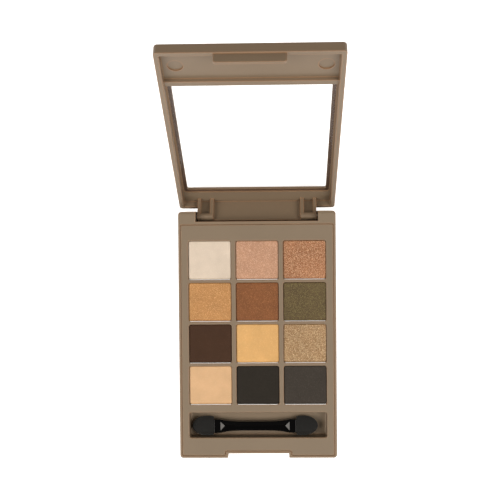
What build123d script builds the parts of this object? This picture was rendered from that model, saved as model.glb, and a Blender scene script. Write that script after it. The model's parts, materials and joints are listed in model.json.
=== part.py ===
from build123d import *
import os

os.makedirs("parts", exist_ok=True)

# Eyeshadow palette: a flat base with twelve powder pans and an applicator well, and a hinged
# lid with a clear window. Millimetres. The origin is the centre of the base's underside,
# +X to the user's right, +Y towards the hinge, +Z up. The lid is written open.

# ---- Driving dimensions ----------------------------------------------------------------

WIDTH = 70.0
LENGTH = 110.0
BASE_HEIGHT = 12.0
CORNER_RADIUS = 1.5

# Base shell
BASE_FLOOR = 1.2
BASE_UNDER_RADIUS = 1.0
BASE_RIM_RADIUS = 0.5
RIM_WIDTH = 1.15
LEDGE_WIDTH = 0.9
SEAM_GAP = 0.08
SEAM_CHAMFER = 0.15

# Thumb notch in the front wall, with the groove that takes the lid's snap bead
NOTCH_HALF_WIDTH = 13.65
NOTCH_DEPTH = 2.1
NOTCH_FLOOR = 2.4
GROOVE_HALF_WIDTH = 11.5
GROOVE_DEPTH = 0.4
GROOVE_HEIGHT = 1.2

# Hinge
HINGE_INSET = 2.17
HINGE_Z = 6.75
OPEN_ANGLE = 119.5
RECESS_HALF_WIDTH = 27.15
RECESS_FRONT_INSET = 4.5
RECESS_FLOOR = 2.8
BOSS_SWING_RADIUS = 5.33
RELIEF_ABOVE_AXIS = 2.0
PIN_RADIUS = 0.75
PIN_RUNNING_CLEARANCE = 0.05
PIN_INNER_X = 20.0
PIN_END_RECESS = 0.4
PIN_CHAMFER = 0.2

# Deck plate, the inner tray that frames the powders
DECK_THICKNESS = 1.1
DECK_REAR_Y = 49.1
DECK_CORNER_RADIUS = 0.7
DECK_EDGE_RADIUS = 0.3
OPENING_EDGE_RADIUS = 0.5
PEG_RADIUS = 1.05
PEG_LOW_Z = 3.0
SOCKET_RADIUS = 2.1
SOCKET_TOP_Z = 9.5
PEG_PLACES = [(-28.0, 45.4), (0.0, 45.4), (28.0, 45.4), (-24.0, -49.7), (24.0, -49.7)]

# Powder pans, three columns by four rows
COLUMN_PITCH = 21.05
ROW_PITCH = 18.58
FIRST_ROW_Y = 33.3
OPENING_X = 18.95
OPENING_Y = 17.15
OPENING_CORNER = 1.0
PAN_X = 20.3
PAN_Y = 18.3
PAN_CORNER = 1.5
PAN_WALL = 0.3
PAN_HEIGHT = 3.6
POWDER_MARGIN = 0.1
POWDER_BELOW_DECK = 0.75
POWDER_EDGE_RADIUS = 0.18
GRID_RIB_WIDTH = 1.6

SHADES = [
    ["ivory", "rose", "copper"],
    ["gold", "russet", "olive"],
    ["cocoa", "honey", "champagne"],
    ["peach", "black", "charcoal"],
]

# Applicator well, one piece with the deck plate
WELL_CENTRE_X = -0.05
WELL_CENTRE_Y = -40.2
WELL_X = 61.15
WELL_Y = 11.1
WELL_CORNER = 0.8
WELL_DEPTH = 6.5
WELL_WALL = 1.0
WELL_FLOOR_RADIUS = 0.7

# Double-ended applicator lying in the well
APPLICATOR_Y = -41.15
APPLICATOR_Z = 7.75
HANDLE_LEFT_X = -20.1
HANDLE_RIGHT_X = 17.0
HANDLE_THICKNESS = 3.4
COLLAR_WIDTH = 6.1
COLLAR_LENGTH = 3.1
WAIST_WIDTH = 4.1
WAIST_LENGTH = 10.0
FLANK_SLOPE = 0.28
HANDLE_EDGE_RADIUS = 0.35
FLUTE_END_WIDTH = 3.9
FLUTE_WAIST_WIDTH = 2.5
FLUTE_DEPTH = 0.9
FLUTE_RAMP = 2.0
FLUTE_OVERCUT = 0.5
PADDLE_WIDTH = 3.6
PADDLE_THICKNESS = 1.4
PADDLE_LENGTH = 5.5
SPONGE_LENGTH = 9.7
SPONGE_WIDTH = 8.9
SPONGE_THICKNESS = 4.2
SPONGE_NECK_WIDTH = 8.0
SPONGE_SHOULDER = 3.2
SPONGE_NECK_SLOPE = 0.55
SPONGE_TIP_FULLNESS = 0.71
SPONGE_EDGE_RADIUS = 1.3

# Lid, dimensioned as it lies when closed
CLOSED_GAP = 0.15
LID_THICKNESS = 4.55
LID_TOP_RADIUS = 0.8
CREST_RADIUS = 0.3
CREST_WIDTH = 2.05
REAR_WALL = 1.6
LID_CAVITY_DEPTH = 2.9
LID_CAVITY_CORNER = 0.6
WINDOW_HALF_X = 30.7
WINDOW_REAR_INSET = 11.1
WINDOW_FRONT_INSET = 86.8
WINDOW_CORNER = 0.8
POCKET_MARGIN = 1.45
POCKET_DEPTH = 0.5
POCKET_CORNER = 1.2
PANEL_CLEARANCE = 0.1
PANEL_THICKNESS = 0.7
PANEL_EDGE_RADIUS = 0.12
BAR_LENGTH = 3.2
BAR_BELOW_CREST = 1.26
BAR_REAR_RADIUS = 1.1
BAR_FRONT_RADIUS = 0.25
DIMPLE_X = 27.95
DIMPLE_INSET = 99.0
DIMPLE_RADIUS = 2.95
DIMPLE_DEPTH = 0.5

# Catch tab on the lid's front wall
TAB_HALF_WIDTH = 13.3
TAB_LENGTH = 4.0
TAB_SETBACK = 0.55
TAB_THICKNESS = 1.2
TAB_CORNER = 1.0
TAB_EDGE_RADIUS = 0.3
BEAD_HALF_WIDTH = 11.0
BEAD_RADIUS = 0.4
BEAD_PROUD = 0.15
BEAD_ABOVE_TIP = 1.0

# Hinge tongue on the lid's rear wall
TONGUE_HALF_WIDTH = 26.6
TONGUE_OUTER_RADIUS = 2.1
TONGUE_BELOW_AXIS = 1.6
KNUCKLE_RADIUS = 1.7
OUTER_RIB_X = (25.25, 26.6)
INNER_RIB_X = (19.45, 21.0)

# ---- Values worked out from them ---------------------------------------------------------

HALF_WIDTH = WIDTH / 2
HALF_LENGTH = LENGTH / 2
HINGE_Y = HALF_LENGTH - HINGE_INSET
DECK_UNDER_Z = BASE_HEIGHT - DECK_THICKNESS
DECK_HALF_X = HALF_WIDTH - RIM_WIDTH
DECK_FRONT_Y = -HALF_LENGTH + RIM_WIDTH
NOTCH_WALL_Y = -HALF_LENGTH + NOTCH_DEPTH
RECESS_FRONT_Y = HALF_LENGTH - RECESS_FRONT_INSET
PAN_BOTTOM_Z = DECK_UNDER_Z - PAN_HEIGHT
LID_CREST_Z = BASE_HEIGHT + CLOSED_GAP
LID_TOP_Z = LID_CREST_Z + LID_THICKNESS
LID_FLOOR_Z = LID_CREST_Z + LID_CAVITY_DEPTH
LEDGE_Z = LID_FLOOR_Z + POCKET_DEPTH
BEAD_Z = LID_CREST_Z - TAB_LENGTH + BEAD_ABOVE_TIP

# Working lengths: how far a cutter runs past what it cuts, how deep a rib is sunk into its
# neighbour so that the two join, and the smallest length that counts
CUT = 1.0
SINK = 0.1
TINY = 0.001


# ---- Shape helpers ------------------------------------------------------------------------

def block(x_range, y_range, z_range):
    """Box between two limits along each axis."""
    size = [high - low for low, high in (x_range, y_range, z_range)]
    centre = [(high + low) / 2 for low, high in (x_range, y_range, z_range)]
    return Pos(*centre) * Box(*size)


def slab(size_x, size_y, corner, z_range, centre=(0.0, 0.0)):
    """Upright slab with rounded corners."""
    outline = Pos(centre[0], centre[1], z_range[0]) * RectangleRounded(size_x, size_y, corner)
    return extrude(outline, z_range[1] - z_range[0])


def across(profile, x_range):
    """Extrudes a profile drawn in Y and Z along X."""
    return extrude(Plane.YZ.offset(x_range[0]) * profile, x_range[1] - x_range[0])


def rod(radius, x_range, y, z):
    """Round bar along X."""
    return across(Pos(y, z) * Circle(radius), x_range)


def mirrored(shape):
    """The same shape on the other side of the middle plane."""
    return mirror(shape, about=Plane.YZ)


def at_height(shape, z):
    """Edges that lie in the horizontal plane at a height."""
    return shape.edges().filter_by_position(Axis.Z, z - TINY, z + TINY)


def deck_outline(grow):
    """Outline of the deck plate, which steps back round the thumb notch."""
    x = DECK_HALF_X + grow
    front = DECK_FRONT_Y - grow
    rear = DECK_REAR_Y + grow
    step_x = NOTCH_HALF_WIDTH + RIM_WIDTH - grow
    step_y = NOTCH_WALL_Y + RIM_WIDTH - grow
    full = Pos(0, (front + rear) / 2) * Rectangle(2 * x, rear - front)
    step = Pos(0, (front - CUT + step_y) / 2) * Rectangle(2 * step_x, step_y - front + CUT)
    outline = full - step
    return fillet(outline.vertices(), DECK_CORNER_RADIUS)


def shade_places():
    """Yields each shade's name with the centre of its pan."""
    for row, names in enumerate(SHADES):
        for column, name in enumerate(names):
            yield name, (column - 1) * COLUMN_PITCH, FIRST_ROW_Y - row * ROW_PITCH


# ---- Base ---------------------------------------------------------------------------------

def pan_grid():
    """Ribs on the base floor that carry the pans by their edges."""
    rear = FIRST_ROW_Y + ROW_PITCH / 2
    front = rear - len(SHADES) * ROW_PITCH
    half_x = DECK_HALF_X
    heights = (BASE_FLOOR - SINK, PAN_BOTTOM_Z)
    half_rib = GRID_RIB_WIDTH / 2
    grid = []
    columns = len(SHADES[0])
    for line in range(columns + 1):
        x = (line - columns / 2) * COLUMN_PITCH
        grid.append(block((x - half_rib, x + half_rib), (front - half_rib, rear + half_rib), heights))
    for line in range(len(SHADES) + 1):
        y = rear - line * ROW_PITCH
        grid.append(block((-half_x, half_x), (y - half_rib, y + half_rib), heights))
    return grid


def pin_bore(radius, x_range):
    """Bore round the hinge axis."""
    return rod(radius, x_range, HINGE_Y, HINGE_Z)


def swing_relief():
    """Rear top corner of both bosses, rounded about the hinge axis so that the lid clears it."""
    corner = block(
        (RECESS_HALF_WIDTH - CUT, HALF_WIDTH + CUT),
        (HINGE_Y, HALF_LENGTH + CUT),
        (HINGE_Z + RELIEF_ABOVE_AXIS, BASE_HEIGHT + CUT),
    )
    return corner - pin_bore(BOSS_SWING_RADIUS, (RECESS_HALF_WIDTH - 2 * CUT, HALF_WIDTH + 2 * CUT))


def boss_edge_waste():
    """What a rounded edge takes off the right boss, along the hinge recess."""
    centre_x = RECESS_HALF_WIDTH + BASE_RIM_RADIUS
    centre_z = BASE_HEIGHT - BASE_RIM_RADIUS
    y_range = (RECESS_FRONT_Y, HALF_LENGTH + CUT)
    corner = block((RECESS_HALF_WIDTH - CUT, centre_x), y_range, (centre_z, BASE_HEIGHT + CUT))
    bar = Rot(90, 0, 0) * Cylinder(BASE_RIM_RADIUS, LENGTH)
    return corner - Pos(centre_x, HALF_LENGTH, centre_z) * bar


def make_base_shell():
    shell = slab(WIDTH, LENGTH, CORNER_RADIUS, (0, BASE_HEIGHT))
    shell = fillet(at_height(shell, 0), BASE_UNDER_RADIUS)
    shell = fillet(at_height(shell, BASE_HEIGHT), BASE_RIM_RADIUS)

    rebate = extrude(Pos(0, 0, DECK_UNDER_Z) * deck_outline(SEAM_GAP), DECK_THICKNESS + CUT)
    seam = extrude(
        Pos(0, 0, BASE_HEIGHT) * deck_outline(SEAM_GAP + SEAM_CHAMFER),
        -SEAM_CHAMFER,
        taper=45,
    )
    cavity = extrude(Pos(0, 0, BASE_FLOOR) * deck_outline(-LEDGE_WIDTH), BASE_HEIGHT)
    shell = shell - rebate - seam - cavity

    notch = block(
        (-NOTCH_HALF_WIDTH, NOTCH_HALF_WIDTH),
        (-HALF_LENGTH - CUT, NOTCH_WALL_Y),
        (NOTCH_FLOOR, BASE_HEIGHT + CUT),
    )
    groove = block(
        (-GROOVE_HALF_WIDTH, GROOVE_HALF_WIDTH),
        (NOTCH_WALL_Y - CUT, NOTCH_WALL_Y + GROOVE_DEPTH),
        (BEAD_Z - GROOVE_HEIGHT / 2, BEAD_Z + GROOVE_HEIGHT / 2),
    )
    recess = block(
        (-RECESS_HALF_WIDTH, RECESS_HALF_WIDTH),
        (RECESS_FRONT_Y, HALF_LENGTH + CUT),
        (RECESS_FLOOR, BASE_HEIGHT + CUT),
    )
    bores = pin_bore(PIN_RADIUS, (-HALF_WIDTH - CUT, HALF_WIDTH + CUT))
    relief = swing_relief()
    edge_waste = boss_edge_waste()
    shell = shell - notch - groove - recess - relief - mirrored(relief) - bores
    shell = shell - edge_waste - mirrored(edge_waste)

    for rib in pan_grid():
        shell += rib
    for x, y in PEG_PLACES:
        height = SOCKET_TOP_Z - BASE_FLOOR
        socket = Pos(x, y, BASE_FLOOR - SINK) * extrude(Circle(SOCKET_RADIUS), height + SINK)
        hole = Pos(x, y, BASE_FLOOR) * extrude(Circle(PEG_RADIUS), height + CUT)
        shell = shell + socket - hole
    return shell


def make_deck_plate():
    deck = extrude(Pos(0, 0, DECK_UNDER_Z) * deck_outline(0), DECK_THICKNESS)

    well_centre = (WELL_CENTRE_X, WELL_CENTRE_Y)
    well_floor = BASE_HEIGHT - WELL_DEPTH
    deck += slab(
        WELL_X + 2 * WELL_WALL,
        WELL_Y + 2 * WELL_WALL,
        WELL_CORNER + WELL_WALL,
        (well_floor - WELL_WALL, DECK_UNDER_Z + SINK),
        well_centre,
    )
    well = slab(WELL_X, WELL_Y, WELL_CORNER, (well_floor, BASE_HEIGHT + CUT), well_centre)
    deck -= fillet(at_height(well, well_floor), WELL_FLOOR_RADIUS)

    for _, x, y in shade_places():
        through = (DECK_UNDER_Z - CUT, BASE_HEIGHT + CUT)
        deck -= slab(OPENING_X, OPENING_Y, OPENING_CORNER, through, (x, y))

    top = deck.faces().sort_by(Axis.Z)[-1]
    opening_edges = [edge for wire in top.inner_wires() for edge in wire.edges()]
    deck = fillet(opening_edges, OPENING_EDGE_RADIUS)
    top = deck.faces().sort_by(Axis.Z)[-1]
    deck = fillet(top.outer_wire().edges(), DECK_EDGE_RADIUS)

    for x, y in PEG_PLACES:
        deck += Pos(x, y, PEG_LOW_Z) * extrude(Circle(PEG_RADIUS), DECK_UNDER_Z - PEG_LOW_Z + SINK)
    return deck


def make_pan(x, y):
    """Pressed metal pan, open at the top."""
    outside = slab(PAN_X, PAN_Y, PAN_CORNER, (PAN_BOTTOM_Z, DECK_UNDER_Z), (x, y))
    inside = slab(
        PAN_X - 2 * PAN_WALL,
        PAN_Y - 2 * PAN_WALL,
        PAN_CORNER - PAN_WALL,
        (PAN_BOTTOM_Z + PAN_WALL, DECK_UNDER_Z + CUT),
        (x, y),
    )
    return outside - inside


def make_powder(x, y):
    """Pressed powder that fills its pan and stands up into the deck's opening."""
    cake = slab(
        PAN_X - 2 * PAN_WALL,
        PAN_Y - 2 * PAN_WALL,
        PAN_CORNER - PAN_WALL,
        (PAN_BOTTOM_Z + PAN_WALL, DECK_UNDER_Z),
        (x, y),
    )
    raised = slab(
        OPENING_X - 2 * POWDER_MARGIN,
        OPENING_Y - 2 * POWDER_MARGIN,
        OPENING_CORNER - POWDER_MARGIN,
        (DECK_UNDER_Z - SINK, BASE_HEIGHT - POWDER_BELOW_DECK),
        (x, y),
    )
    raised = fillet(at_height(raised, BASE_HEIGHT - POWDER_BELOW_DECK), POWDER_EDGE_RADIUS)
    return cake + raised


def make_hinge_pin():
    """Steel pin on the right side, flush inside the boss and blind in the lid's knuckle."""
    pin = rod(PIN_RADIUS, (PIN_INNER_X, HALF_WIDTH - PIN_END_RECESS), HINGE_Y, HINGE_Z)
    return chamfer(pin.edges().filter_by(GeomType.CIRCLE), PIN_CHAMFER)


# ---- Lid, in its closed place ----------------------------------------------------------------

def lid_inset(distance):
    """Y of a line at a distance in front of the lid's rear edge."""
    return HALF_LENGTH - distance


def tongue_profiles():
    """Rear plate and rib of the hinge tongue, drawn in Y and Z about the hinge axis."""
    top = LID_FLOOR_Z + SINK - HINGE_Z
    inner = HINGE_INSET - REAR_WALL
    plate = Pos((inner + TONGUE_OUTER_RADIUS) / 2, (top - TONGUE_BELOW_AXIS) / 2) * Rectangle(
        TONGUE_OUTER_RADIUS - inner, top + TONGUE_BELOW_AXIS
    )
    swing = Circle(TONGUE_OUTER_RADIUS) + Pos(0, top / 2) * Rectangle(2 * TONGUE_OUTER_RADIUS, top)
    plate = plate & swing
    rib = Pos((inner - KNUCKLE_RADIUS) / 2, top / 2) * Rectangle(inner + KNUCKLE_RADIUS + SINK, top)
    knuckle = Circle(KNUCKLE_RADIUS)
    place = Pos(HINGE_Y, HINGE_Z)
    return place * plate, place * (rib + knuckle), place * knuckle


def make_tongue():
    plate, rib, knuckle = tongue_profiles()
    tongue = across(plate, (-TONGUE_HALF_WIDTH, TONGUE_HALF_WIDTH))
    for x_range in (OUTER_RIB_X, INNER_RIB_X):
        side = across(rib, x_range)
        tongue = tongue + side + mirrored(side)
    barrel = across(knuckle, (INNER_RIB_X[0], OUTER_RIB_X[1]))
    tongue = tongue + barrel + mirrored(barrel)
    bore = pin_bore(PIN_RADIUS + PIN_RUNNING_CLEARANCE, (INNER_RIB_X[0] - CUT, OUTER_RIB_X[1] + CUT))
    return tongue - bore - mirrored(bore)


def make_tab():
    """Catch tab with a snap bead along its inner face."""
    front = -HALF_LENGTH + TAB_SETBACK
    low = LID_CREST_Z - TAB_LENGTH
    tab = block(
        (-TAB_HALF_WIDTH, TAB_HALF_WIDTH),
        (front, front + TAB_THICKNESS),
        (low, LID_CREST_Z + CUT),
    )
    tab = fillet(at_height(tab, low).filter_by(Axis.Y), TAB_CORNER)
    front_edges = [
        edge
        for edge in tab.edges()
        if abs(edge.center().Y - front) < TINY and edge.center().Z < LID_CREST_Z + CUT / 2
    ]
    tab = fillet(front_edges, TAB_EDGE_RADIUS)
    bead_y = front + TAB_THICKNESS + BEAD_PROUD - BEAD_RADIUS
    return tab + rod(BEAD_RADIUS, (-BEAD_HALF_WIDTH, BEAD_HALF_WIDTH), bead_y, BEAD_Z)


def make_window_bar():
    """Low cross bar inside the lid, along the window's front edge."""
    rear = lid_inset(WINDOW_FRONT_INSET + POCKET_MARGIN)
    front = rear - BAR_LENGTH
    top = LID_CREST_Z + BAR_BELOW_CREST
    half_x = HALF_WIDTH - CREST_WIDTH + SINK
    bar = block((-half_x, half_x), (front, rear), (top, LID_FLOOR_Z + SINK))
    ridge = at_height(bar, top).filter_by(Axis.X).sort_by(Axis.Y)
    bar = fillet(ridge[-1], BAR_REAR_RADIUS)
    ridge = at_height(bar, top).filter_by(Axis.X).sort_by(Axis.Y)
    return fillet(ridge[0], BAR_FRONT_RADIUS)


def window_slab(margin, corner, z_range):
    """Slab as large as the window opening plus a margin all round."""
    rear = lid_inset(WINDOW_REAR_INSET) + margin
    front = lid_inset(WINDOW_FRONT_INSET) - margin
    size_x = 2 * (WINDOW_HALF_X + margin)
    return slab(size_x, rear - front, corner, z_range, (0, (rear + front) / 2))


def make_lid_frame():
    lid = slab(WIDTH, LENGTH, CORNER_RADIUS, (LID_CREST_Z, LID_TOP_Z))
    lid = fillet(at_height(lid, LID_TOP_Z), LID_TOP_RADIUS)
    rear = HALF_LENGTH - REAR_WALL
    front = -HALF_LENGTH + CREST_WIDTH
    lid -= slab(
        WIDTH - 2 * CREST_WIDTH,
        rear - front,
        LID_CAVITY_CORNER,
        (LID_CREST_Z - CUT, LID_FLOOR_Z),
        (0, (rear + front) / 2),
    )
    lid = fillet(at_height(lid, LID_CREST_Z), CREST_RADIUS)

    lid = lid + make_window_bar() + make_tongue() + make_tab()
    lid -= window_slab(POCKET_MARGIN, POCKET_CORNER, (LID_FLOOR_Z - TINY, LEDGE_Z))
    lid -= window_slab(0, WINDOW_CORNER, (LEDGE_Z - CUT, LID_TOP_Z + CUT))
    for x in (-DIMPLE_X, DIMPLE_X):
        dimple = Pos(x, lid_inset(DIMPLE_INSET), LID_FLOOR_Z - CUT)
        lid -= dimple * extrude(Circle(DIMPLE_RADIUS), CUT + DIMPLE_DEPTH)
    return lid


def make_window_panel():
    """Clear panel that lies on the ledge round the window."""
    z_range = (LEDGE_Z - PANEL_THICKNESS, LEDGE_Z)
    margin = POCKET_MARGIN - PANEL_CLEARANCE
    panel = window_slab(margin, POCKET_CORNER - PANEL_CLEARANCE, z_range)
    edges = at_height(panel, z_range[0]) + at_height(panel, z_range[1])
    return fillet(edges, PANEL_EDGE_RADIUS)


def opened(shape):
    """Turns a lid piece about the hinge axis from closed to open."""
    to_axis = Pos(0, -HINGE_Y, -HINGE_Z)
    return Pos(0, HINGE_Y, HINGE_Z) * Rot(-OPEN_ANGLE, 0, 0) * to_axis * shape


# ---- Applicator -----------------------------------------------------------------------------

def handle_outline():
    """Plan of the handle about its own middle: two square collars joined by a slim waist."""
    half_length = (HANDLE_RIGHT_X - HANDLE_LEFT_X) / 2
    collar = half_length - COLLAR_LENGTH
    wide = COLLAR_WIDTH / 2
    slim = WAIST_WIDTH / 2
    waist = WAIST_LENGTH / 2
    right_flank = Spline((collar, wide), (waist, slim), tangents=[(-1, -FLANK_SLOPE), (-1, 0)])
    corner = Polyline((half_length, 0), (half_length, wide), (collar, wide))
    middle = Line((waist, slim), (0, slim))
    quarter = make_face(corner + right_flank + middle + Polyline((0, slim), (0, 0), (half_length, 0)))
    half = quarter + mirror(quarter, about=Plane.XZ)
    return half + mirror(half, about=Plane.YZ)


def flute():
    """V-shaped flute along the handle's upper side, ending in a flat ramp at each collar."""
    half_length = (HANDLE_RIGHT_X - HANDLE_LEFT_X) / 2
    end_x = half_length - COLLAR_LENGTH
    top = HANDLE_THICKNESS / 2

    def vee(x, width):
        scale = width / FLUTE_END_WIDTH
        spread = width / 2 + FLUTE_OVERCUT * FLUTE_END_WIDTH / (2 * FLUTE_DEPTH)
        high = top + FLUTE_OVERCUT
        points = [(-spread, high), (0, top - FLUTE_DEPTH * scale), (spread, high)]
        return Plane.YZ.offset(x) * make_face(Polyline(*points, close=True))

    waist = WAIST_LENGTH / 2
    right = loft([vee(waist, FLUTE_WAIST_WIDTH), vee(end_x, FLUTE_END_WIDTH)], ruled=True)
    middle = loft([vee(-waist, FLUTE_WAIST_WIDTH), vee(waist, FLUTE_WAIST_WIDTH)], ruled=True)
    ramp_points = [(end_x, top), (end_x, top - 2 * FLUTE_DEPTH), (end_x - FLUTE_RAMP, top - FLUTE_DEPTH)]
    ramp_face = Plane.XZ * make_face(Polyline(*ramp_points, close=True))
    right -= extrude(ramp_face, COLLAR_WIDTH, both=True)
    return middle + right + mirrored(right)


def sponge_outline():
    """Plan of the right sponge: flat neck at the collar, widest at the shoulder, oval tip."""
    neck = SPONGE_NECK_WIDTH / 2
    wide = SPONGE_WIDTH / 2
    shoulder = Spline((0, neck), (SPONGE_SHOULDER, wide), tangents=[(1, SPONGE_NECK_SLOPE), (1, 0)])
    middle_x = SPONGE_SHOULDER + SPONGE_TIP_FULLNESS * (SPONGE_LENGTH - SPONGE_SHOULDER)
    tip = Spline(
        (SPONGE_SHOULDER, wide),
        (middle_x, SPONGE_TIP_FULLNESS * wide),
        (SPONGE_LENGTH, 0),
        tangents=[(1, 0), (0, -1)],
    )
    base_line = Polyline((SPONGE_LENGTH, 0), (0, 0), (0, neck))
    half = make_face(shoulder + tip + base_line)
    return half + mirror(half, about=Plane.XZ)


def paddle(x_start):
    """Flat end of the handle that carries a sponge."""
    half_width = PADDLE_WIDTH / 2
    half_thick = PADDLE_THICKNESS / 2
    return block(
        (x_start, x_start + PADDLE_LENGTH),
        (APPLICATOR_Y - half_width, APPLICATOR_Y + half_width),
        (APPLICATOR_Z - half_thick, APPLICATOR_Z + half_thick),
    )


def make_handle():
    middle_x = (HANDLE_LEFT_X + HANDLE_RIGHT_X) / 2
    handle = extrude(Pos(0, 0, -HANDLE_THICKNESS / 2) * handle_outline(), HANDLE_THICKNESS)
    rims = at_height(handle, HANDLE_THICKNESS / 2) + at_height(handle, -HANDLE_THICKNESS / 2)
    handle = fillet(rims, HANDLE_EDGE_RADIUS)
    groove = flute()
    handle = handle - groove - mirror(groove, about=Plane.XY)
    handle = Pos(middle_x, APPLICATOR_Y, APPLICATOR_Z) * handle
    handle += paddle(HANDLE_RIGHT_X)
    handle += paddle(HANDLE_LEFT_X - PADDLE_LENGTH)
    return handle


def make_sponge(side):
    """Foam tip; side is +1 for the right end and -1 for the left."""
    tip = extrude(Pos(0, 0, -SPONGE_THICKNESS / 2) * sponge_outline(), SPONGE_THICKNESS)
    rims = at_height(tip, SPONGE_THICKNESS / 2) + at_height(tip, -SPONGE_THICKNESS / 2)
    tip = fillet([edge for edge in rims if edge.center().X > TINY], SPONGE_EDGE_RADIUS)
    if side > 0:
        tip = Pos(HANDLE_RIGHT_X, APPLICATOR_Y, APPLICATOR_Z) * tip
        return tip - paddle(HANDLE_RIGHT_X)
    tip = Pos(HANDLE_LEFT_X, APPLICATOR_Y, APPLICATOR_Z) * mirrored(tip)
    return tip - paddle(HANDLE_LEFT_X - PADDLE_LENGTH)


# ---- Write each piece --------------------------------------------------------------------------

def write(name, shape):
    export_step(shape, f"parts/{name}.step")


write("base_shell", make_base_shell())
write("deck_plate", make_deck_plate())
for shade, pan_x, pan_y in shade_places():
    write(f"pan_{shade}", make_pan(pan_x, pan_y))
    write(f"powder_{shade}", make_powder(pan_x, pan_y))
hinge_pin = make_hinge_pin()
write("hinge_pin_right", hinge_pin)
write("hinge_pin_left", mirrored(hinge_pin))
write("lid_frame", opened(make_lid_frame()))
write("lid_window", opened(make_window_panel()))
write("applicator_handle", make_handle())
write("sponge_tip_left", make_sponge(-1))
write("sponge_tip_right", make_sponge(1))
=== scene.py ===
import json
from math import cos, pi, radians, sin, sqrt

import bpy
from mathutils import Matrix, Vector, noise


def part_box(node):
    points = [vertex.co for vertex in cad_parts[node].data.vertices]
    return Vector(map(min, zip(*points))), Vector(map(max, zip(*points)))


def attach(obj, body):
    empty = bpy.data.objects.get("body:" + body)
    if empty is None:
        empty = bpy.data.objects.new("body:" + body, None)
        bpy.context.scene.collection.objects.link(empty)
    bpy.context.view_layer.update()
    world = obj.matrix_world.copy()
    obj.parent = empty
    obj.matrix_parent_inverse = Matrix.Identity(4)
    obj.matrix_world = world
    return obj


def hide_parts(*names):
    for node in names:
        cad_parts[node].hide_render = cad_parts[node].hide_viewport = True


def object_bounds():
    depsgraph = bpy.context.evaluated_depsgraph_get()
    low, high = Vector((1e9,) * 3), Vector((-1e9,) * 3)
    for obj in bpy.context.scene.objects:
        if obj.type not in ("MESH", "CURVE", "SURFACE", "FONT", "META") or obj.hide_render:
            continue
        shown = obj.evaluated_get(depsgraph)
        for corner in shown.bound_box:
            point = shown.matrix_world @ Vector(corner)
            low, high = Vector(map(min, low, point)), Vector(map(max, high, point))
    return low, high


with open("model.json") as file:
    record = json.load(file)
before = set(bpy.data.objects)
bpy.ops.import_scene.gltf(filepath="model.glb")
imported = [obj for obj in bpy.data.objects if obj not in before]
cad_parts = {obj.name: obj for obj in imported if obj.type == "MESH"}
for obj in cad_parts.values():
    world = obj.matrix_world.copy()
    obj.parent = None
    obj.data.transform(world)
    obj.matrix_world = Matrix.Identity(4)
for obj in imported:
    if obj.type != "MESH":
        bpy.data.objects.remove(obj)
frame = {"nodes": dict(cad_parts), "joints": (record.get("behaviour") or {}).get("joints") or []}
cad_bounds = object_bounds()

# Looks of an eyeshadow palette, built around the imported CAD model. Metres, in the CAD's frame:
# +X to the user's right, +Y towards the hinge, +Z up, the origin under the middle of the base.

MM = 0.001

# ---- Lid, as the CAD model has it -------------------------------------------------------------

LID_HINGE = next(joint for joint in frame["joints"] if joint["name"] == "lid_hinge")
OPEN_ANGLE = LID_HINGE["range_deg"][1]
HINGE_PLACE = tuple(LID_HINGE["pos_m"])
# How far the ledge behind the clear panel lies outward from the hinge's axis.
LEDGE_DEPTH = 8.8 * MM

# ---- Colours, linear RGB ---------------------------------------------------------------------

WHITE = (1.0, 1.0, 1.0)
TAUPE = (0.232, 0.176, 0.118)
# The lid's taupe is the base's plastic painted a little darker: a shaded copy of the same colour.
TAUPE_LID_SHADED = (0.218, 0.159, 0.104)
# Warm taupe painted along edges, as the warm light they catch.
TAUPE_WARM_EDGE_LIGHT = (0.330, 0.190, 0.105)
# Near-white of the strips that paint the highlight along the front edge of each opening.
HIGHLIGHT_PALE = (0.95, 0.95, 0.94)
# Brown of the shade painted in the lid's recess round the clear panel.
RECESS_SHADE_BROWN = (0.105, 0.058, 0.034)
INK_BLACK = (0.0016, 0.0016, 0.0018)
FOAM_BLACK = (0.0072, 0.0071, 0.0065)
TIN = (0.62, 0.61, 0.58)
STEEL = (0.52, 0.53, 0.55)
SHEET_TINT = (0.985, 0.99, 0.99)
FLOOR_WHITE = (0.90, 0.90, 0.90)

# Each shade: main tone, flake tone, share of flakes, how far single grains vary in brightness,
# share of light that the surface mirrors like metal, and roughness.
SHADES = {
    "ivory": ((0.723, 0.617, 0.504), (0.905, 0.837, 0.742), 0.04, 0.03, 0.00, 0.80),
    "rose": ((0.548, 0.301, 0.186), (0.970, 0.689, 0.518), 0.22, 0.16, 0.12, 0.46),
    "copper": ((0.415, 0.180, 0.087), (0.980, 0.649, 0.390), 0.26, 0.38, 0.22, 0.38),
    "gold": ((0.543, 0.268, 0.098), (0.976, 0.631, 0.288), 0.20, 0.18, 0.14, 0.44),
    "russet": ((0.234, 0.086, 0.028), (0.527, 0.234, 0.093), 0.16, 0.20, 0.10, 0.50),
    "olive": ((0.119, 0.082, 0.036), (0.343, 0.284, 0.108), 0.20, 0.30, 0.14, 0.46),
    "cocoa": ((0.0568, 0.0253, 0.0118), (0.114, 0.057, 0.032), 0.03, 0.05, 0.00, 0.82),
    "honey": ((0.736, 0.429, 0.161), (0.963, 0.697, 0.345), 0.08, 0.08, 0.03, 0.66),
    "champagne": ((0.394, 0.230, 0.108), (0.970, 0.781, 0.497), 0.28, 0.34, 0.24, 0.36),
    "peach": ((0.695, 0.446, 0.246), (0.861, 0.642, 0.444), 0.04, 0.03, 0.00, 0.80),
    "black": ((0.0209, 0.0167, 0.0119), (0.045, 0.036, 0.030), 0.03, 0.06, 0.00, 0.84),
    "charcoal": ((0.0401, 0.0320, 0.0243), (0.104, 0.086, 0.071), 0.10, 0.12, 0.04, 0.68),
}

# ---- Surface detail: sizes, and ranges from low to high ---------------------------------------

# Where nearly all of a noise texture's values lie, and the whole range of a value.
NOISE_SPAN = (0.3, 0.7)
UNIT = (0.0, 1.0)

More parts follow.
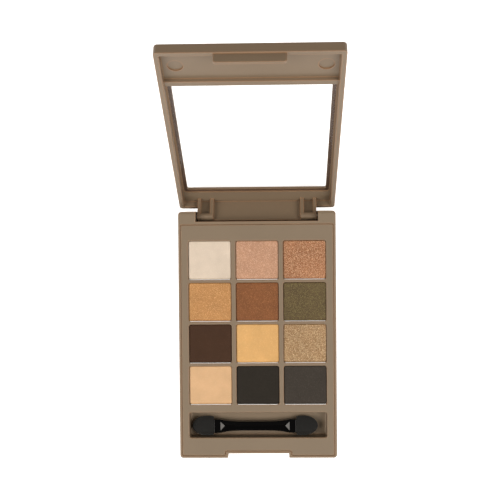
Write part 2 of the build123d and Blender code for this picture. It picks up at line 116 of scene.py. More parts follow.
PLASTIC_ROUGHNESS = {"base": 0.44, "deck": 0.47, "lid": 0.45}
PLASTIC_IOR = 1.5
CLOUD_SIZE = 16 * MM
CLOUD_TONES = (0.975, 1.02)
SPARK_SIZE = 0.22 * MM
SPARK_DEPTH = 0.006 * MM
SPARK_SHARE = 0.07
SPARK_TONE = 0.72
SPARK_ROUGHNESS = 0.05

# The warm band painted along edges, which stands in for the warm light they catch: its reach, and the cosines
# between the rounded and the true normal over which it fades out.
EDGE_REACH = 0.8 * MM
EDGE_COSINES = (0.90, 0.995)
EDGE_SAMPLES = 4

# The shade painted round the clear panel fades in just short of the ledge, shows on faces that look inward
# only, and fades out above the clear panel.
SHADE_SHORT_OF_LEDGE = (-0.2 * MM, -0.1 * MM)
SHADE_FACING = (-0.9, -0.6)
SHADE_ABOVE_PANEL = (0.5 * MM, 1.0 * MM)

# The sheet's share of mirrored light, square on and edge on.
SHEET_GLOSS = (0.012, 0.5)
SLANT_POWER = 5.0
WIPE_SIZE = 1.2 * MM
WIPE_STRETCH = (1.0, 0.18, 0.18)
WIPE_ROUGHNESS = (0.02, 0.05)

METAL_LINES = 0.12 * MM
METAL_LINE_DEPTH = 0.002 * MM
METAL_TONES = (0.88, 1.08)
METAL_DULLER = (-0.06, 0.08)
TIN_ROUGHNESS = 0.34
TIN_DRAWN = (1.0, 0.06, 1.0)
STEEL_ROUGHNESS = 0.24
STEEL_DRAWN = (0.05, 1.0, 1.0)

RIM_LINES = 0.3 * MM
RIM_DRAWN = (0.1, 1.0, 1.0)
RIM_TONES = (0.95, 1.0)
RIM_ROUGHNESS = (0.30, 0.45)

HANDLE_IOR = 1.40
HANDLE_WAVES = 5 * MM
HANDLE_WAVE_DEPTH = 0.004 * MM
DUST_SIZE = 0.3 * MM
DUST_SPAN = (0.55, 0.8)
DUST_TONES = (1.0, 2.2)
DUST_ROUGHNESS = (0.05, 0.12)

FOAM_CELL = 0.2 * MM
FOAM_CELL_SPAN = (0.1, 0.6)
FOAM_CELL_DEPTH = 0.03 * MM
FOAM_CELL_TONES = (0.55, 1.2)
FOAM_MOTTLE = 1.1 * MM
FOAM_MOTTLE_SHARE = 0.35
FOAM_MOTTLE_TONE = 1.7
FOAM_ROUGHNESS = (0.86, 0.98)
FOAM_SPECULAR = 0.25
FOAM_SHEEN = 0.12
FOAM_SHEEN_ROUGHNESS = 0.6

POWDER_BLOOM = 7 * MM
POWDER_CLUMP = 0.75 * MM
POWDER_CLUMP_TONE = 0.35
POWDER_GRAIN = 0.17 * MM
POWDER_GRAIN_TONE = 0.55
POWDER_DULLER = (-0.06, 0.08)
POWDER_SPECULAR = 0.3
# Swing in brightness and depth of the grain where the unevenness is 0, and the depth it adds.
POWDER_SWING = 0.05
POWDER_DEPTH = 0.006 * MM
POWDER_DEPTH_UNEVEN = 0.03 * MM
# Brightness of a flake, how sharply flakes end, and their mirrored light beside and on them.
FLAKE_STRENGTH = 0.35
FLAKE_SHARPNESS = 0.6
FLAKE_METAL = (0.3, 3.0)

TABLE_MOTTLE = 40 * MM
TABLE_TONES = (0.99, 1.0)
TABLE_ROUGHNESS = 0.9
TABLE_SPECULAR = 0.1
TABLE_GLOW = 0.80

# ---- Powder cakes -----------------------------------------------------------------------------

CAKE_MARGIN = 0.475 * MM
CAKE_SHOULDER_BELOW_TOP = 0.35 * MM
CAKE_BODY_CORNER = 1.2 * MM
CAKE_TOP_CORNER = 0.9 * MM
CAKE_EDGE_RADIUS = 0.2 * MM
CAKE_EDGE_STEPS = 4
CAKE_CELLS = (88, 80)
# Size across and height of the long wave, the lumps and the grain in a cake's top.
PRESS_WAVES = ((7.0 * MM, 0.030 * MM), (1.3 * MM, 0.012 * MM), (0.45 * MM, 0.008 * MM))
# Size and depth of the crumbs, which are lost from this share of the half width outward.
EDGE_CRUMBLE = (0.9 * MM, 0.05 * MM)
EDGE_CRUMBLE_FROM = 0.97
# Steps in the noise from one cake to the next, and from a cake's relief to its crumbs.
CAKE_SEED_STEP = 11.3
CRUMBLE_SEED_STEP = 5

# ---- Pan rims ---------------------------------------------------------------------------------

# Front to back, top to bottom, how far above the powder, and how far short of its sides.
# These strips carry a painted highlight along the front edge of each opening.
RIM_WIDTH = 0.42 * MM
RIM_HEIGHT = 0.90 * MM
RIM_RISE = 0.60 * MM
RIM_END = 0.25 * MM
RIM_CELLS = 24
RIM_ROUND = 8

# ---- Sponge tips ------------------------------------------------------------------------------

SPONGE_INSIDE = 0.04 * MM
SPONGE_SHOULDER = 0.33
# Width and thickness at the neck, as shares of the fullest.
SPONGE_NECK = (0.95, 0.93)
# The foam's end face at the neck: its size as a share of the neck's, and the share of the
# length over which it rounds out to the full size.
NECK_CAP = 0.94
NECK_CAP_SHARE = 0.02
SPONGE_SECTION_POWER = 2.5
SPONGE_TIP_POWER = 2.2
SPONGE_ROUND = 168
SPONGE_ALONG = 104
SEAM_DEPTH = 0.16 * MM
SEAM_WIDTH = 0.16
PORE_PITCH = 0.42 * MM
PORE_DEPTH = 0.05 * MM
PORE_REACH = 0.45
PORE_SEED_STEP = 40
FOAM_UNEVEN = (2.6 * MM, 0.06 * MM)
FOAM_SEED_STEP = 9

# ---- Studio -----------------------------------------------------------------------------------

FLOOR_HALF = 2.0
FLOOR_CELLS = 8
FLOOR_DROP = 0.1 * MM
WORLD_LIGHT = 0.07
WORLD_TINT = (1.0, 0.90, 0.80)
BACKGROUND_LIGHT = 0.95
CAMERA_PLACE = (10.3 * MM, 48.5 * MM, 463.2 * MM)
# Degrees about the camera's own axes, one after the other, from looking straight down.
CAMERA_TURNS = ((-1.358, "X"), (1.695, "Y"), (-0.440, "Z"))
# Focal length in millimetres.
CAMERA_LENS = 73.3
CAMERA_NEAREST = 10 * MM

# Each softbox: direction from the palette, distance, width and height in metres, brightness
# as radiance, and tint.
SIDE_TINT = (1.0, 0.935, 0.865)
FRONT_TINT = (0.95, 0.98, 1.0)
SOFTBOXES = {
    "side_right": ((0.58, -0.09, 0.81), 0.95, (0.56, 0.50), 5.9, SIDE_TINT),
    "side_left": ((-0.64, -0.09, 0.77), 0.95, (0.56, 0.50), 5.9, SIDE_TINT),
    "front_right": ((0.27, -0.70, 0.66), 1.20, (0.56, 0.24), 4.7, FRONT_TINT),
    "front_left": ((-0.27, -0.70, 0.66), 1.20, (0.56, 0.24), 4.7, FRONT_TINT),
}


# ---- Node helpers -----------------------------------------------------------------------------

# Sockets that a Mix node uses for colours.
MIX_FACTOR, MIX_FIRST, MIX_SECOND, MIX_RESULT = 0, 6, 7, 2


def set_inputs(tree, node, inputs):
    """Gives each input socket a value or another node's output."""
    for key, value in inputs.items():
        if isinstance(value, bpy.types.NodeSocket):
            tree.links.new(value, node.inputs[key])
        else:
            node.inputs[key].default_value = value


def add(tree, kind, inputs=None, **settings):
    """Adds a shader node with its settings and inputs."""
    made = tree.nodes.new(kind)
    for name, value in settings.items():
        setattr(made, name, value)
    set_inputs(tree, made, inputs or {})
    return made


def start_material(name):
    """New material with a Principled shader; returns it, its tree, the shader and coordinates."""
    material = bpy.data.materials.new(name)
    material.use_nodes = True
    tree = material.node_tree
    shader = tree.nodes["Principled BSDF"]
    coordinates = add(tree, "ShaderNodeTexCoord").outputs["Object"]
    return material, tree, shader, coordinates


def calculate(tree, operation, first, second):
    """Result of a Math node."""
    return add(tree, "ShaderNodeMath", {0: first, 1: second}, operation=operation).outputs[0]


def stretch(tree, coordinates, factors):
    """Coordinates multiplied by a factor along each axis."""
    return add(tree, "ShaderNodeVectorMath", {0: coordinates, 1: factors}, operation="MULTIPLY").outputs[0]


def along(tree, vector, direction):
    """Length of a vector along a direction."""
    product = add(tree, "ShaderNodeVectorMath", {0: vector, 1: direction}, operation="DOT_PRODUCT")
    return product.outputs["Value"]


def speckle(tree, coordinates, size, detail=2.0):
    """Noise from 0 to 1 whose spots are about size metres across."""
    inputs = {"Vector": coordinates, "Scale": 1 / size, "Detail": detail}
    return add(tree, "ShaderNodeTexNoise", inputs).outputs["Fac"]


def cells(tree, coordinates, size):
    """Outputs of a cell texture whose cells are about size metres across."""
    return add(tree, "ShaderNodeTexVoronoi", {"Vector": coordinates, "Scale": 1 / size}).outputs


def spread(tree, value, low, high, source=NOISE_SPAN):
    """Maps a value, a noise texture's unless a source range is given, to low up to high."""
    inputs = {"Value": value, "From Min": source[0], "From Max": source[1], "To Min": low, "To Max": high}
    return add(tree, "ShaderNodeMapRange", inputs).outputs["Result"]


def with_alpha(colour):
    """A plain colour as a socket takes it; a node's output as it is."""
    return (*colour, 1.0) if isinstance(colour, tuple) else colour


def blend_colours(tree, factor, first, second):
    """Mixes two colours; factor 0 gives the first."""
    inputs = {MIX_FACTOR: factor, MIX_FIRST: with_alpha(first), MIX_SECOND: with_alpha(second)}
    return add(tree, "ShaderNodeMix", inputs, data_type="RGBA").outputs[MIX_RESULT]


def shaded(colour, factor):
    """The colour made darker or lighter by a factor."""
    return tuple(min(1.0, channel * factor) for channel in colour)


def varied(tree, pattern, colour, tones):
    """The colour between two factors of brightness, as a pattern goes from 0 to 1."""
    return blend_colours(tree, pattern, shaded(colour, tones[0]), shaded(colour, tones[1]))


def bump(tree, height, depth):
    """Bump whose height of 1 stands depth metres proud."""
    inputs = {"Height": height, "Distance": depth, "Strength": 1.0}
    return add(tree, "ShaderNodeBump", inputs).outputs["Normal"]


def edge_mask(tree):
    """1 along edges, 0 on flat faces."""
    rounded_off = add(tree, "ShaderNodeBevel", {"Radius": EDGE_REACH}, samples=EDGE_SAMPLES)
    true_normal = add(tree, "ShaderNodeNewGeometry").outputs["Normal"]
    agreement = along(tree, rounded_off.outputs["Normal"], true_normal)
    return spread(tree, agreement, 1.0, 0.0, EDGE_COSINES)


# ---- Materials --------------------------------------------------------------------------------

def moulded_plastic(part, colour):
    """Spark-textured matt plastic: faint flow clouds, fine grain and a warm tint painted along edges as the
    warm light they catch.
    """
    material, tree, shader, coordinates = start_material(f"{part}_plastic")
    roughness = PLASTIC_ROUGHNESS[part]
    clouds = speckle(tree, coordinates, CLOUD_SIZE, 3.0)
    sparks = speckle(tree, coordinates, SPARK_SIZE)
    cloudy = varied(tree, spread(tree, clouds, 0.0, 1.0), colour, CLOUD_TONES)
    sparked = blend_colours(tree, spread(tree, sparks, 0.0, SPARK_SHARE), cloudy, shaded(colour, SPARK_TONE))
    set_inputs(tree, shader, {
        # Edges are blended towards a warm taupe: painted warm light along the edges.
        "Base Color": blend_colours(tree, edge_mask(tree), sparked, TAUPE_WARM_EDGE_LIGHT),
        "Roughness": spread(tree, sparks, roughness - SPARK_ROUGHNESS, roughness + SPARK_ROUGHNESS),
        "Normal": bump(tree, sparks, SPARK_DEPTH),
        "IOR": PLASTIC_IOR,
    })
    return material


def paint_recess_shade(material):
    """Paints shade onto the ledge and the inward-facing walls inside the lid, round the clear panel."""
    tree = material.node_tree
    shader = tree.nodes["Principled BSDF"]
    finish = shader.inputs["Base Color"].links[0].from_socket
    outward = (0.0, sin(radians(OPEN_ANGLE)), cos(radians(OPEN_ANGLE)))
    panel_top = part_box("lid_window")[1].z

    place = add(tree, "ShaderNodeTexCoord").outputs
    height = add(tree, "ShaderNodeSeparateXYZ", {0: place["Object"]}).outputs["Z"]
    from_hinge = add(tree, "ShaderNodeVectorMath", {0: place["Object"], 1: HINGE_PLACE}, operation="SUBTRACT")
    depth = along(tree, from_hinge.outputs[0], outward)
    facing = along(tree, place["Normal"], outward)

    deep = spread(tree, depth, 0.0, 1.0, [LEDGE_DEPTH + short for short in SHADE_SHORT_OF_LEDGE])
    inward = spread(tree, facing, 1.0, 0.0, SHADE_FACING)
    beside = spread(tree, height, 1.0, 0.0, [panel_top + above for above in SHADE_ABOVE_PANEL])
    # Share of painted shade: deep in the recess, facing inward and beside the panel.
    in_shade = calculate(tree, "MULTIPLY", calculate(tree, "MULTIPLY", deep, inward), beside)
    set_inputs(tree, shader, {"Base Color": blend_colours(tree, in_shade, finish, RECESS_SHADE_BROWN)})
    return material


def clear_sheet():
    """Clear acrylic sheet with faint wiping marks: see-through, mirroring more at a slant."""
    material, tree, shader, coordinates = start_material("clear_acrylic")
    tree.nodes.remove(shader)
    wiping = speckle(tree, stretch(tree, coordinates, WIPE_STRETCH), WIPE_SIZE, 4.0)
    gloss = add(tree, "ShaderNodeBsdfAnisotropic", {
        "Color": with_alpha(WHITE),
        "Roughness": spread(tree, wiping, *WIPE_ROUGHNESS),
    })
    clear = add(tree, "ShaderNodeBsdfTransparent", {"Color": with_alpha(SHEET_TINT)})
    # At a blend of one half, Facing is 1 minus the cosine of the slant.
    slant = add(tree, "ShaderNodeLayerWeight", {"Blend": 0.5}).outputs["Facing"]
    steep = calculate(tree, "POWER", slant, SLANT_POWER)
    mirrored = spread(tree, steep, *SHEET_GLOSS, UNIT)
    sheet = add(tree, "ShaderNodeMixShader", {0: mirrored, 1: clear.outputs[0], 2: gloss.outputs[0]})
    set_inputs(tree, tree.nodes["Material Output"], {"Surface": sheet.outputs[0]})
    return material


def metal(name, colour, roughness, drawn):
    """Metal with drawn lines along one direction."""
    material, tree, shader, coordinates = start_material(name)
    lines = speckle(tree, stretch(tree, coordinates, drawn), METAL_LINES, 3.0)
    smoothest, dullest = (roughness + duller for duller in METAL_DULLER)
    set_inputs(tree, shader, {
        "Base Color": varied(tree, spread(tree, lines, 0.0, 1.0), colour, METAL_TONES),
        "Roughness": spread(tree, lines, smoothest, dullest),
        "Normal": bump(tree, lines, METAL_LINE_DEPTH),
        "Metallic": 1.0,
    })
    return material


def painted_highlight_rim():
    """Near-white satin surface with faint drawn lines: a painted highlight on the strips at the pans' rims.
    """
    material, tree, shader, coordinates = start_material("painted_highlight_rim")
    lines = speckle(tree, stretch(tree, coordinates, RIM_DRAWN), RIM_LINES)
    set_inputs(tree, shader, {
        # The near-white colour is a painted highlight.
        "Base Color": varied(tree, spread(tree, lines, 0.0, 1.0), HIGHLIGHT_PALE, RIM_TONES),
        "Roughness": spread(tree, lines, *RIM_ROUGHNESS),
    })
    return material


def gloss_plastic():
    """Polished black polystyrene: long shallow waves and a trace of dust in the gloss."""
    material, tree, shader, coordinates = start_material("gloss_black_plastic")
    waves = speckle(tree, coordinates, HANDLE_WAVES)
    dust = speckle(tree, coordinates, DUST_SIZE, 3.0)
    set_inputs(tree, shader, {
        "Base Color": varied(tree, spread(tree, dust, 0.0, 1.0, DUST_SPAN), INK_BLACK, DUST_TONES),
        "Roughness": spread(tree, dust, *DUST_ROUGHNESS),
        "Normal": bump(tree, waves, HANDLE_WAVE_DEPTH),
        "IOR": HANDLE_IOR,
    })
    return material


def foam():
    """Fine open-cell foam."""
    material, tree, shader, coordinates = start_material("black_foam")
    distance = cells(tree, coordinates, FOAM_CELL)["Distance"]
    walls = spread(tree, distance, 0.0, 1.0, FOAM_CELL_SPAN)
    mottle = speckle(tree, coordinates, FOAM_MOTTLE, 4.0)
    paler = spread(tree, mottle, 0.0, FOAM_MOTTLE_SHARE)
    # The pores are painted darker than the cell walls, by the same pattern that sinks them in the bump:
    # painted shade in the pores.
    tone = varied(tree, walls, FOAM_BLACK, FOAM_CELL_TONES)
    set_inputs(tree, shader, {
        "Base Color": blend_colours(tree, paler, tone, shaded(FOAM_BLACK, FOAM_MOTTLE_TONE)),
        "Roughness": spread(tree, mottle, *FOAM_ROUGHNESS),
        "Normal": bump(tree, walls, FOAM_CELL_DEPTH),
        "Specular IOR Level": FOAM_SPECULAR,
        "Sheen Weight": FOAM_SHEEN,
        "Sheen Roughness": FOAM_SHEEN_ROUGHNESS,
    })
    return material


def powder_colour(tree, tone, unevenness, bloom, clumps, lot):
    """Powder without its flakes: a slow bloom, darker clumps and grains of uneven brightness."""
    swing = POWDER_SWING + unevenness / 4
    colour = varied(tree, spread(tree, bloom, 0.0, 1.0), tone, (1 - swing, 1 + swing))
    clumped = spread(tree, clumps, 0.0, unevenness)
    colour = blend_colours(tree, clumped, colour, shaded(tone, POWDER_CLUMP_TONE))
    darkened = spread(tree, lot, 0.0, unevenness, UNIT)
    return blend_colours(tree, darkened, colour, shaded(tone, POWDER_GRAIN_TONE))


def pressed_powder(shade):
    """Pressed powder: grains of uneven brightness, with flakes that catch the light."""
    tone, flake_tone, share, unevenness, metallic, roughness = SHADES[shade]
    material, tree, shader, coordinates = start_material(f"pressed_powder_{shade}")
    clumps = speckle(tree, coordinates, POWDER_CLUMP, 3.0)
    bloom = speckle(tree, coordinates, POWDER_BLOOM)
    grains = cells(tree, coordinates, POWDER_GRAIN)["Color"]
    # Three numbers drawn for each grain: whether it's a flake, its brightness, its roughness.
    flake_lot, bright_lot, rough_lot = list(add(tree, "ShaderNodeSeparateColor", {0: grains}).outputs)

    is_flake = spread(tree, flake_lot, 0.0, 1.0, (1 - share, 1 - FLAKE_SHARPNESS * share))
    glint = calculate(tree, "MULTIPLY", is_flake, FLAKE_STRENGTH + unevenness)
    colour = powder_colour(tree, tone, unevenness, bloom, clumps, bright_lot)
    height = calculate(tree, "ADD", bright_lot, clumps)
    smoothest, dullest = (roughness + duller for duller in POWDER_DULLER)
    set_inputs(tree, shader, {
        "Base Color": blend_colours(tree, glint, colour, flake_tone),
        "Roughness": spread(tree, rough_lot, smoothest, dullest, UNIT),
        "Normal": bump(tree, height, POWDER_DEPTH + POWDER_DEPTH_UNEVEN * unevenness),
        "Specular IOR Level": POWDER_SPECULAR,
    })
    if metallic > 0:
        between, flaked = (min(1.0, metallic * factor) for factor in FLAKE_METAL)
        set_inputs(tree, shader, {"Metallic": spread(tree, is_flake, between, flaked, UNIT)})
    return material


def table_white():
    """White table with a faint mottle and a slight glow, so that it's as white as the backdrop."""
    material, tree, shader, coordinates = start_material("white_table")
    mottle = speckle(tree, coordinates, TABLE_MOTTLE, 3.0)
    set_inputs(tree, shader, {
        "Base Color": varied(tree, spread(tree, mottle, 0.0, 1.0), FLOOR_WHITE, TABLE_TONES),
        "Roughness": TABLE_ROUGHNESS,
        "Specular IOR Level": TABLE_SPECULAR,
        "Emission Color": with_alpha(WHITE),
        "Emission Strength": TABLE_GLOW,
    })
    return material


def paint(name, material):
    """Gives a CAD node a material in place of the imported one."""
    mesh = frame["nodes"][name].data
    mesh.materials.clear()
    mesh.materials.append(material)


def paint_frame():
    """Paints every CAD node that stays visible, and the pans and pins inside."""
    paint("base_shell", moulded_plastic("base", TAUPE))
    paint("deck_plate", moulded_plastic("deck", TAUPE))
    paint("lid_frame", paint_recess_shade(moulded_plastic("lid", TAUPE_LID_SHADED)))
    paint("lid_window", clear_sheet())
    paint("applicator_handle", gloss_plastic())
    tin = metal("drawn_tinplate", TIN, TIN_ROUGHNESS, TIN_DRAWN)
    for shade in SHADES:
        paint(f"pan_{shade}", tin)
    steel = metal("drawn_steel", STEEL, STEEL_ROUGHNESS, STEEL_DRAWN)
    for side in ("left", "right"):
        paint(f"hinge_pin_{side}", steel)


# ---- Meshes -----------------------------------------------------------------------------------

def make_piece(name, points, faces, material, body, node=None):
    """Links a smooth mesh as a piece of a body, which may stand for a CAD node."""
    mesh = bpy.data.meshes.new(name)
    mesh.from_pydata(points, [], faces)
    mesh.validate()
    mesh.shade_smooth()
    mesh.materials.append(material)
    piece = bpy.data.objects.new(name, mesh)
    bpy.context.scene.collection.objects.link(piece)
    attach(piece, body)
    if node:
        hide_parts(node)
    return piece


def grid_faces(columns, rows):
    """Four-sided faces of a grid whose points run row by row."""
    faces = []
    for j in range(rows):
        for i in range(columns):
            first = j * (columns + 1) + i
            faces.append((first, first + 1, first + columns + 2, first + columns + 1))
    return faces


def grid_border(columns, rows):
    """Grid places round the border, counter-clockwise."""
    border = [(i, 0) for i in range(columns)]
    border += [(columns, j) for j in range(rows)]
    border += [(i, rows) for i in range(columns, 0, -1)]
    border += [(0, j) for j in range(rows, 0, -1)]
    return border


def band_faces(ring, following):
    """Faces between two rings of as many points."""
    return list(zip(ring, following, following[1:] + following[:1], ring[1:] + ring[:1]))


# ---- Powder cakes -----------------------------------------------------------------------------

def wobble(x, y, size_and_height, seed):
    """Smooth bumps of a given size and height at a place on a surface."""
    size, height = size_and_height
    return noise.noise(Vector((x / size, y / size, seed))) * height


def relief(x, y, seed):
    """Height of a cake's uneven top at a place."""
    return sum(wobble(x, y, wave, seed) for wave in PRESS_WAVES)


def crumbled(x, y, seed):
    """How much of a cake's edge has crumbled away at a place."""
    return abs(wobble(x, y, EDGE_CRUMBLE, seed + CRUMBLE_SEED_STEP))


def rounded(u, v, half, corner):
    """Maps the square from -1 to 1 onto a rectangle with rounded corners."""
    x, y = u * half[0], v * half[1]
    over_x = (abs(x) - half[0] + corner) / corner
    over_y = (abs(y) - half[1] + corner) / corner
    if over_x <= 0 or over_y <= 0:
        return x, y
    x_in = half[0] - corner + corner * over_x * sqrt(1 - over_y * over_y / 2)
    y_in = half[1] - corner + corner * over_y * sqrt(1 - over_x * over_x / 2)
    return (x_in if x > 0 else -x_in), (y_in if y > 0 else -y_in)


def cake_place(i, j, half, corner):
    """Place on a rounded rectangle for a place in the cake's grid."""
    columns, rows = CAKE_CELLS
    return rounded(2 * i / columns - 1, 2 * j / rows - 1, half, corner)


def cake_top(centre, half, top, seed):
    """Points of the uneven top, row by row."""
    columns, rows = CAKE_CELLS
    points = []
    for j in range(rows + 1):
        for i in range(columns + 1):
            x, y = cake_place(i, j, half, CAKE_TOP_CORNER - CAKE_EDGE_RADIUS)
            share = max(abs(x) / half[0], abs(y) / half[1])
            near_edge = max(0.0, (share - EDGE_CRUMBLE_FROM) / (1 - EDGE_CRUMBLE_FROM))
            z = top + relief(x, y, seed) - near_edge * crumbled(x, y, seed)
            points.append((centre.x + x, centre.y + y, z))
    return points


def cake_rings(top_half, body_half, top, bottom):
    """Each ring's half sizes, corner radius, height and whether it follows the relief."""
    rings = []
    for step in range(1, CAKE_EDGE_STEPS + 1):
        turn = step / CAKE_EDGE_STEPS * pi / 2
        grow = CAKE_EDGE_RADIUS * (sin(turn) - 1)
        half = (top_half[0] + grow, top_half[1] + grow)
        rings.append((half, CAKE_TOP_CORNER + grow, top - CAKE_EDGE_RADIUS * (1 - cos(turn)), True))
    shoulder = top - CAKE_SHOULDER_BELOW_TOP
    rings.append((top_half, CAKE_TOP_CORNER, shoulder, False))
    rings.append((body_half, CAKE_BODY_CORNER, shoulder, False))
    rings.append((body_half, CAKE_BODY_CORNER, bottom, False))
    return rings


def cake_mesh(node, seed):
    """Closed pressed-powder cake: an uneven top with a crumbled soft edge on a plain body."""
    low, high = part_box(node)
    centre = (low + high) / 2
    body_half = ((high.x - low.x) / 2, (high.y - low.y) / 2)
    top_half = (body_half[0] - CAKE_MARGIN, body_half[1] - CAKE_MARGIN)
    flat_half = (top_half[0] - CAKE_EDGE_RADIUS, top_half[1] - CAKE_EDGE_RADIUS)
    top = high.z - sum(height for size, height in PRESS_WAVES) / 2

    points = cake_top(centre, flat_half, top, seed)
    faces = grid_faces(*CAKE_CELLS)
    border = grid_border(*CAKE_CELLS)
    ring = [j * (CAKE_CELLS[0] + 1) + i for i, j in border]
    for half, corner, height, follows in cake_rings(top_half, body_half, top, low.z):
        following = list(range(len(points), len(points) + len(border)))
        for i, j in border:
            x, y = cake_place(i, j, half, corner)
            lift = relief(x, y, seed) - crumbled(x, y, seed) if follows else 0.0
            points.append((centre.x + x, centre.y + y, height + lift))
        faces += band_faces(ring, following)
        ring = following
    faces.append(tuple(reversed(ring)))
    return points, faces


def make_powders():
    """One pressed cake for each shade, in place of the plain solid."""
    for number, shade in enumerate(SHADES):
        node = f"powder_{shade}"
        points, faces = cake_mesh(node, CAKE_SEED_STEP * number)
        make_piece(f"pressed_{shade}", points, faces, pressed_powder(shade), "base", node)


# ---- Pan rims ---------------------------------------------------------------------------------

def rim_mesh(node):
    """Closed strip with a rounded top, shaped as the rim of a pan in front of its powder, which carries a
    painted highlight.
    """
    low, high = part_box(node)
    centre_x = (low.x + high.x) / 2
    half = (high.x - low.x) / 2 - CAKE_MARGIN - RIM_END
    back = low.y + CAKE_MARGIN
    crest = high.z + RIM_RISE
    points = []
    for step in range(RIM_CELLS + 1):
        x = centre_x + half * (2 * step / RIM_CELLS - 1)
        for turn in range(RIM_ROUND + 1):
            angle = pi * turn / RIM_ROUND
            y = back - RIM_WIDTH / 2 * (1 - cos(angle))
            points.append((x, y, crest - RIM_HEIGHT * (1 - sqrt(max(0.0, sin(angle))))))
    width = RIM_ROUND + 1
    sections = [list(range(step * width, (step + 1) * width)) for step in range(RIM_CELLS + 1)]
    faces = [tuple(sections[0]), tuple(reversed(sections[-1]))]
    for here, there in zip(sections, sections[1:]):
        faces += band_faces(here, there)
    return points, faces


def make_highlight_rims():
    """The twelve strips of painted highlight, shaped as pan rims, as one piece."""
    points, faces = [], []
    for shade in SHADES:
        rim_points, rim_faces = rim_mesh(f"powder_{shade}")
        faces += [tuple(len(points) + corner for corner in face) for face in rim_faces]
        points += rim_points
    make_piece("painted_highlight_lips", points, faces, painted_highlight_rim(), "base")


# ---- Sponge tips ------------------------------------------------------------------------------

def sponge_section(share):
    """Half width and half thickness of the sponge as shares, from the neck, 0, to the tip, 1."""
    if share < SPONGE_SHOULDER:
        rise = 1 - (1 - share / SPONGE_SHOULDER) ** 2
        return tuple(neck + (1 - neck) * rise for neck in SPONGE_NECK)
    past = (share - SPONGE_SHOULDER) / (1 - SPONGE_SHOULDER)
    width = sqrt(max(0.0, 1 - past ** 2))
    thick = max(0.0, 1 - past ** 3) ** (1 / SPONGE_TIP_POWER)
    return width, thick


def squarish(value):
    """A sine or cosine bent so that the circle it draws becomes a rounded square."""
    return abs(value) ** (2 / SPONGE_SECTION_POWER) * (1 if value > 0 else -1)


def foam_depth(place, upright, side):
    """How far the welded seam, the pores and the foam's unevenness lie below the full shape."""
    seam = SEAM_DEPTH * max(0.0, 1 - abs(upright) / SEAM_WIDTH) ** 2
    to_pore = noise.voronoi(place / PORE_PITCH + Vector((0, 0, PORE_SEED_STEP * side)))[0][0]
    pore = PORE_DEPTH * max(0.0, 1 - to_pore / PORE_REACH)
    size, height = FOAM_UNEVEN
    swell = noise.noise(place / size + Vector((FOAM_SEED_STEP * side, 0, 0)))
    return seam + pore + height * (1 + swell) / 2


def foam_place(share, turn, sizes, side):
    """Point of the foam, measured from the middle of its neck."""
    length, half_width, half_thick = sizes
    cap = NECK_CAP + (1 - NECK_CAP) * sqrt(1 - (1 - min(1.0, share / NECK_CAP_SHARE)) ** 2)
    width, thick = sponge_section(share)
    across, upright = squarish(cos(turn)), squarish(sin(turn))
    place = Vector((share * length, across * half_width * width * cap, upright * half_thick * thick * cap))
    depth = foam_depth(place, upright, side)
    inward = Vector((0, place.y, place.z))
    return place - inward.normalized() * min(depth, inward.length / 2)


def sponge_faces(last):
    """Faces of a pad whose points are the neck's middle, the rings and the tip, the last."""
    faces = []
    end = 1 + (SPONGE_ALONG - 2) * SPONGE_ROUND
    for r in range(SPONGE_ROUND):
        nxt = (r + 1) % SPONGE_ROUND
        faces.append((0, 1 + nxt, 1 + r))
        for here in range(1, end, SPONGE_ROUND):
            there = here + SPONGE_ROUND
            faces.append((here + r, here + nxt, there + nxt, there + r))
        faces.append((end + r, end + nxt, last))
    return faces


def sponge_mesh(node, side):
    """Closed foam pad with a welded seam round its edge and open pores; side is +1 or -1."""
    low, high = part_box(node)
    centre = (low + high) / 2
    neck_x = (low.x if side > 0 else high.x) + side * SPONGE_INSIDE
    length = high.x - low.x - 2 * SPONGE_INSIDE
    sizes = (length, (high.y - low.y) / 2 - SPONGE_INSIDE, (high.z - low.z) / 2 - SPONGE_INSIDE)

    points = [(neck_x, centre.y, centre.z)]
    for a in range(1, SPONGE_ALONG):
        share = 0.5 - 0.5 * cos(pi * a / SPONGE_ALONG)
        for r in range(SPONGE_ROUND):
            place = foam_place(share, 2 * pi * r / SPONGE_ROUND, sizes, side)
            points.append((neck_x + side * place.x, centre.y + place.y, centre.z + place.z))
    points.append((neck_x + side * length, centre.y, centre.z))

    faces = sponge_faces(len(points) - 1)
    if side < 0:
        faces = [tuple(reversed(face)) for face in faces]
    return points, faces


def make_sponges():
    """The applicator's two padded tips, in place of the plain solids."""
    material = foam()
    for name, side in (("left", -1), ("right", 1)):
        node = f"sponge_tip_{name}"
        points, faces = sponge_mesh(node, side)
        piece = make_piece(f"foam_tip_{name}", points, faces, material, "applicator", node)


# ---- Studio -----------------------------------------------------------------------------------

def make_floor():
    """Large white table just below the palette."""
    step = 2 * FLOOR_HALF / FLOOR_CELLS
    points = [
        (-FLOOR_HALF + i * step, -FLOOR_HALF + j * step, -FLOOR_DROP)
        for j in range(FLOOR_CELLS + 1)
        for i in range(FLOOR_CELLS + 1)
    ]
    mesh = bpy.data.meshes.new("floor")
    mesh.from_pydata(points, [], grid_faces(FLOOR_CELLS, FLOOR_CELLS))
    mesh.materials.append(table_white())
    floor = bpy.data.objects.new("floor", mesh)
    bpy.context.scene.collection.objects.link(floor)


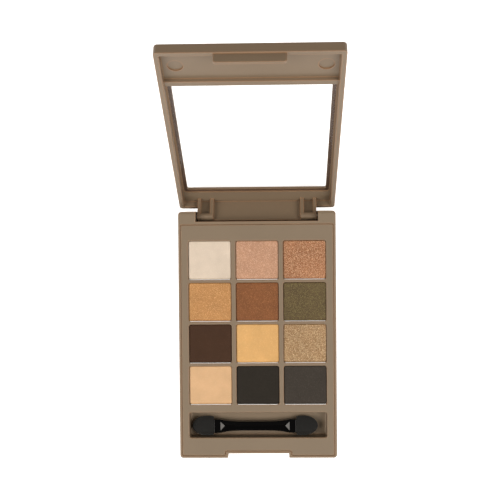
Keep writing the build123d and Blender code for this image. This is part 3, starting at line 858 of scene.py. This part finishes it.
def make_softbox(name, target):
    """Area light that faces the target and isn't seen by the camera."""
    direction, distance, size, radiance, tint = SOFTBOXES[name]
    direction = Vector(direction).normalized()
    light = bpy.data.lights.new(name, "AREA")
    light.shape = "RECTANGLE"
    light.size, light.size_y = size
    light.energy = radiance * pi * size[0] * size[1]
    light.color = tint
    box = bpy.data.objects.new(name, light)
    box.location = target + direction * distance
    box.rotation_mode = "QUATERNION"
    box.rotation_quaternion = direction.to_track_quat("Z", "Y")
    box.visible_camera = False
    bpy.context.scene.collection.objects.link(box)


def make_world():
    """Dim warm fill light, with a white backdrop where the camera sees past the table."""
    world = bpy.data.worlds.new("studio")
    world.use_nodes = True
    tree = world.node_tree
    fill = tree.nodes["Background"]
    set_inputs(tree, fill, {"Color": with_alpha(WORLD_TINT), "Strength": WORLD_LIGHT})
    wall = add(tree, "ShaderNodeBackground", {"Color": with_alpha(WHITE), "Strength": BACKGROUND_LIGHT})
    seen = add(tree, "ShaderNodeLightPath").outputs["Is Camera Ray"]
    both = add(tree, "ShaderNodeMixShader", {0: seen, 1: fill.outputs[0], 2: wall.outputs[0]})
    set_inputs(tree, tree.nodes["World Output"], {"Surface": both.outputs[0]})
    bpy.context.scene.world = world


def make_camera():
    """Camera that looks down at the open palette."""
    camera = bpy.data.objects.new("camera", bpy.data.cameras.new("camera"))
    camera.data.lens = CAMERA_LENS
    camera.data.clip_start = CAMERA_NEAREST
    turn = Matrix.Identity(4)
    for angle, axis in CAMERA_TURNS:
        turn = turn @ Matrix.Rotation(radians(angle), 4, axis)
    camera.matrix_world = Matrix.Translation(Vector(CAMERA_PLACE)) @ turn
    bpy.context.scene.collection.objects.link(camera)
    bpy.context.scene.camera = camera


def make_studio():
    """Camera, table, backdrop and lights."""
    make_camera()
    make_floor()
    make_world()
    low, high = cad_bounds
    target = Vector(((low.x + high.x) / 2, 0.0, low.z))
    for name in SOFTBOXES:
        make_softbox(name, target)
    bpy.context.scene.view_settings.view_transform = "Standard"


make_studio()
paint_frame()
make_powders()
make_highlight_rims()
make_sponges()
